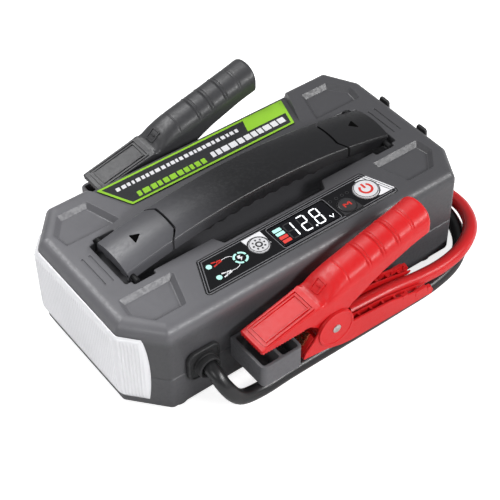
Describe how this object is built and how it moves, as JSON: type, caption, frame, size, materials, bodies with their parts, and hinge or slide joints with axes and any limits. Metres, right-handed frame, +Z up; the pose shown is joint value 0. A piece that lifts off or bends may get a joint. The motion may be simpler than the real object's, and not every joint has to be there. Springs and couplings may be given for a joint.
{
  "type": "jump starter pack",
  "caption": "Portable jump starter: hard-cased battery with ribbed end lamp, control panel, rising carry handle and two jump clamps parked in side holsters.",
  "frame": {"origin": "on the floor, under the middle of the case", "axes": "+X along the case towards the port end, -X the lamp end, -Y the side with the control panel, +Z up"},
  "size_m": [0.3234, 0.2274, 0.1093],
  "materials": {
    "upper_case": "fine-grained satin mid grey",
    "lower_case": "fine-grained dark grey",
    "grip": "smooth satin charcoal",
    "rubber": "matt black",
    "panel": "glossy black film",
    "lens": "frosted with vertical ribs",
    "white_plastic": "satin light grey",
    "dark_button": "satin",
    "red_plastic": "satin red",
    "black_plastic": "satin dark grey",
    "copper": "copper-plated, slightly worn",
    "steel": "plain",
    "board": "solder-resist green",
    "cell": "foil pouch",
    "inner_black": "moulded",
    "label": "printed film",
    "black_cable": "smooth silicone",
    "red_cable": "smooth silicone"
  },
  "bodies": {
    "case": {"upper_casing": "upper_case", "lower_casing": "lower_case", "lamp_lens": "lens", "lamp_reflector": "white_plastic", "lamp_board": "board", "control_panel": "panel", "display_module": "panel", "panel_board": "board", "label_plate": "label", "battery_tray": "inner_black", "bus_bar_positive": "copper", "bus_bar_negative": "copper", "main_board": "board", "relay": "inner_black", "port_module": "inner_black", "near_gland": "rubber", "far_gland": "rubber", "near_holster": "lower_case", "far_holster": "lower_case", "black_cable": "black_cable", "red_cable": "red_cable", "casing_screw_1": "steel", "casing_screw_2": "steel", "casing_screw_3": "steel", "casing_screw_4": "steel", "casing_screw_5": "steel", "casing_screw_6": "steel", "foot_1": "rubber", "battery_cell_1": "cell", "foot_2": "rubber", "battery_cell_2": "cell", "foot_3": "rubber", "battery_cell_3": "cell", "foot_4": "rubber", "battery_cell_4": "cell"},
    "grip": {"handle_grip": "grip", "left_hinge_pin": "steel", "right_hinge_pin": "steel"},
    "left_link": {"left_link": "grip", "left_slide_pin": "steel"},
    "right_link": {"right_link": "grip", "right_slide_pin": "steel"},
    "power_button": {"power_button": "white_plastic"},
    "mode_button": {"mode_button": "dark_button"},
    "light_button": {"light_button": "white_plastic"},
    "usb_cover": {"usb_port_cover": "rubber"},
    "dc_cover": {"dc_port_cover": "rubber"},
    "red_clamp": {"red_lower_lever": "red_plastic", "red_lower_jaw": "copper", "red_pivot_pin": "steel", "red_clamp_spring": "steel"},
    "red_upper": {"red_upper_lever": "red_plastic", "red_upper_jaw": "copper"},
    "black_clamp": {"black_lower_lever": "black_plastic", "black_lower_jaw": "copper", "black_pivot_pin": "steel", "black_clamp_spring": "steel"},
    "black_upper": {"black_upper_lever": "black_plastic", "black_upper_jaw": "copper"}
  },
  "joints": [
    {"name": "handle_lift", "type": "slide", "parent": "case", "child": "grip", "axis": [0, 0, 1], "range_m": [0, 0.018]},
    {"name": "left_link_fold", "type": "hinge", "parent": "grip", "child": "left_link", "pos_m": [-0.078, 0, 0.087], "axis": [0, -1, 0], "range_deg": [0, 35.48]},
    {"name": "right_link_fold", "type": "hinge", "parent": "grip", "child": "right_link", "pos_m": [0.078, 0, 0.087], "axis": [0, 1, 0], "range_deg": [0, 35.48]},
    {"name": "power_button_press", "type": "slide", "parent": "case", "child": "power_button", "axis": [0, 0, -1], "range_m": [0, 0.0012], "stiffness_N_per_m": 900, "springref_m": -0.0006},
    {"name": "mode_button_press", "type": "slide", "parent": "case", "child": "mode_button", "axis": [0, 0, -1], "range_m": [0, 0.0012], "stiffness_N_per_m": 700, "springref_m": -0.0006},
    {"name": "light_button_press", "type": "slide", "parent": "case", "child": "light_button", "axis": [0, 0, -1], "range_m": [0, 0.0012], "stiffness_N_per_m": 800, "springref_m": -0.0006},
    {"name": "usb_cover_turn", "type": "hinge", "parent": "case", "child": "usb_cover", "pos_m": [0.14625, 0, 0.0453], "axis": [0, 1, 0], "range_deg": [0, 100]},
    {"name": "dc_cover_turn", "type": "hinge", "parent": "case", "child": "dc_cover", "pos_m": [0.14625, 0, 0.0453], "axis": [0, 1, 0], "range_deg": [0, 100]},
    {"name": "red_clamp_lift", "type": "slide", "parent": "case", "child": "red_clamp", "axis": [0, 0, 1], "range_m": [0, 0.05], "deforming": ["red_cable"]},
    {"name": "red_clamp_open", "type": "hinge", "parent": "red_clamp", "child": "red_upper", "pos_m": [-0.0108, -0.0975, 0.0432], "axis": [0, 1, 0], "range_deg": [0, 25], "stiffness_Nm_per_rad": 0.5, "springref_deg": -28.65},
    {"name": "black_clamp_lift", "type": "slide", "parent": "case", "child": "black_clamp", "axis": [0, 0, 1], "range_m": [0, 0.05], "deforming": ["black_cable"]},
    {"name": "black_clamp_open", "type": "hinge", "parent": "black_clamp", "child": "black_upper", "pos_m": [-0.0108, 0.0975, 0.0432], "axis": [0, 1, 0], "range_deg": [0, 25], "stiffness_Nm_per_rad": 0.5, "springref_deg": -28.65}
  ],
  "couplings": [
    {"joint": "left_link_fold", "follows": "handle_lift", "rad_per_m": 34.308},
    {"joint": "right_link_fold", "follows": "handle_lift", "rad_per_m": 34.308}
  ]
}
